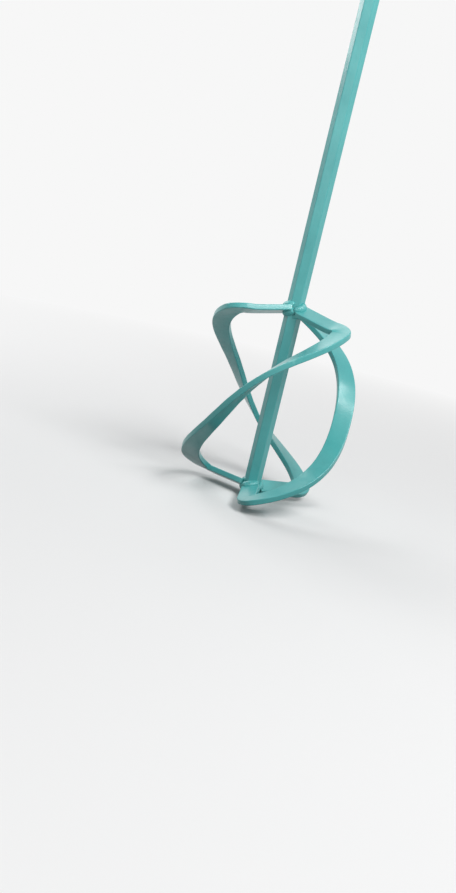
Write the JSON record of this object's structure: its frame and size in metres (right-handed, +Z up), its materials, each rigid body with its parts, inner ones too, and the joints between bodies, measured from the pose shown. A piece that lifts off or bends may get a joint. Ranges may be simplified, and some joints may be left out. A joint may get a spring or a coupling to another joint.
{
  "type": "mortar mixing paddle",
  "caption": "Hexagonal-shaft mixing paddle whose flat-bar blades wind round the shaft as an open cage, with a male drive thread at the top.",
  "frame": {"origin": "centre of the drive thread's seat, on top of the spanner collar", "axes": "+Z up along the shaft towards the machine; +X along blade_a's upper arm; the cage hangs below at negative Z"},
  "size_m": [0.1388, 0.1364, 0.59],
  "materials": {
    "coat": "gloss",
    "zinc": "satin"
  },
  "bodies": {
    "root": {"hex_shaft": "coat", "drive_spigot": "zinc", "spigot_weld": "coat", "blade_a": "coat", "blade_b": "coat", "blade_c": "coat", "weld_top_a_over": "coat", "weld_top_a_under": "coat", "weld_top_b_over": "coat", "weld_top_b_under": "coat", "weld_top_c_over": "coat", "weld_top_c_under": "coat", "weld_foot_a_over": "coat", "weld_foot_a_under": "coat", "weld_foot_b_over": "coat", "weld_foot_b_under": "coat", "weld_foot_c_over": "coat", "weld_foot_c_under": "coat"}
  },
  "joints": []
}
